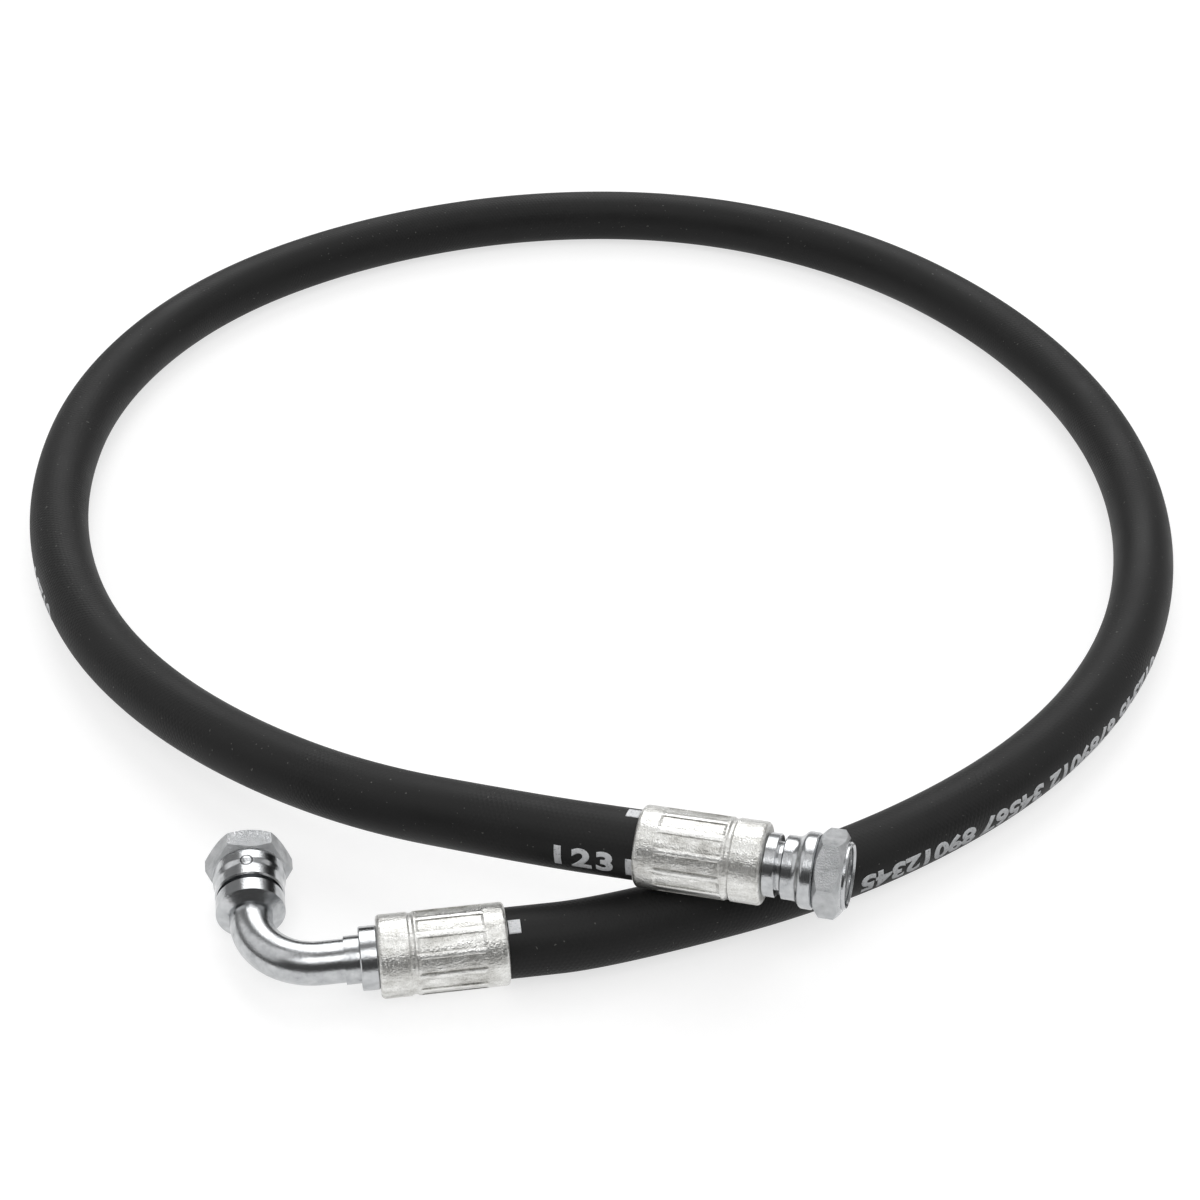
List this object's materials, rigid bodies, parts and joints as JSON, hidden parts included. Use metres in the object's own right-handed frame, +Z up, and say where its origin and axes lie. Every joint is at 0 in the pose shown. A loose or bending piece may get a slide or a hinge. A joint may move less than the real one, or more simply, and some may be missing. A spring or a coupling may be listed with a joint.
{
  "type": "hydraulic hose assembly",
  "caption": "Wire-braided rubber hydraulic hose lying in one loose loop, with a straight and a 90 degree elbow crimped fitting, each with a free-turning hexagonal swivel nut.",
  "frame": {"origin": "on the floor the assembly lies on, below the middle of the two end fittings", "axes": "+Z up, +X from the elbow's end to the straight end, +Y towards the far side of the hose loop"},
  "size_m": [0.5908, 0.6651, 0.0704],
  "materials": {
    "cover_rubber": "matt black, cloth-wrap texture",
    "liner_rubber": "smooth black nitrile rubber",
    "braid_steel": "brass-coated high-tensile wire braid",
    "satin_zinc": "satin zinc plate, crimp marked",
    "bright_zinc": "bright zinc plate, turned",
    "nut_zinc": "bright zinc plate, turned, with drawn flats",
    "spring_steel": "plain spring wire",
    "o_ring_rubber": "smooth black nitrile rubber"
  },
  "bodies": {
    "hose_assembly": {"hose_inner_tube": "liner_rubber", "hose_inner_wire_braid": "braid_steel", "hose_rubber_interlayer": "liner_rubber", "hose_outer_wire_braid": "braid_steel", "hose_cover": "cover_rubber", "straight_hose_tail": "bright_zinc", "straight_ferrule": "satin_zinc", "straight_nose_o_ring": "o_ring_rubber", "elbow_hose_tail": "bright_zinc", "elbow_ferrule": "satin_zinc", "elbow_bent_tube": "bright_zinc", "elbow_swivel_nose": "bright_zinc", "elbow_nose_o_ring": "o_ring_rubber"},
    "straight_wire": {"straight_thrust_wire": "spring_steel"},
    "straight_nut": {"straight_swivel_nut": "nut_zinc"},
    "elbow_wire": {"elbow_thrust_wire": "spring_steel"},
    "elbow_nut": {"elbow_swivel_nut": "nut_zinc"}
  },
  "joints": [
    {"name": "straight_nut_float", "type": "slide", "parent": "hose_assembly", "child": "straight_wire", "axis": [0.9625, -0.2651, 0.0576], "range_m": [-0.0003, 0.0003]},
    {"name": "straight_nut_turn", "type": "hinge", "parent": "straight_wire", "child": "straight_nut", "pos_m": [0.12782, -0.01054, 0.05216], "axis": [0.9625, -0.2651, 0.0576], "continuous": true},
    {"name": "elbow_nut_float", "type": "slide", "parent": "hose_assembly", "child": "elbow_wire", "axis": [-0.1461, 0.9893, 0], "range_m": [-0.0003, 0.0003]},
    {"name": "elbow_nut_turn", "type": "hinge", "parent": "elbow_wire", "child": "elbow_nut", "pos_m": [-0.11836, 0.03245, 0.01722], "axis": [-0.1461, 0.9893, 0], "continuous": true}
  ]
}
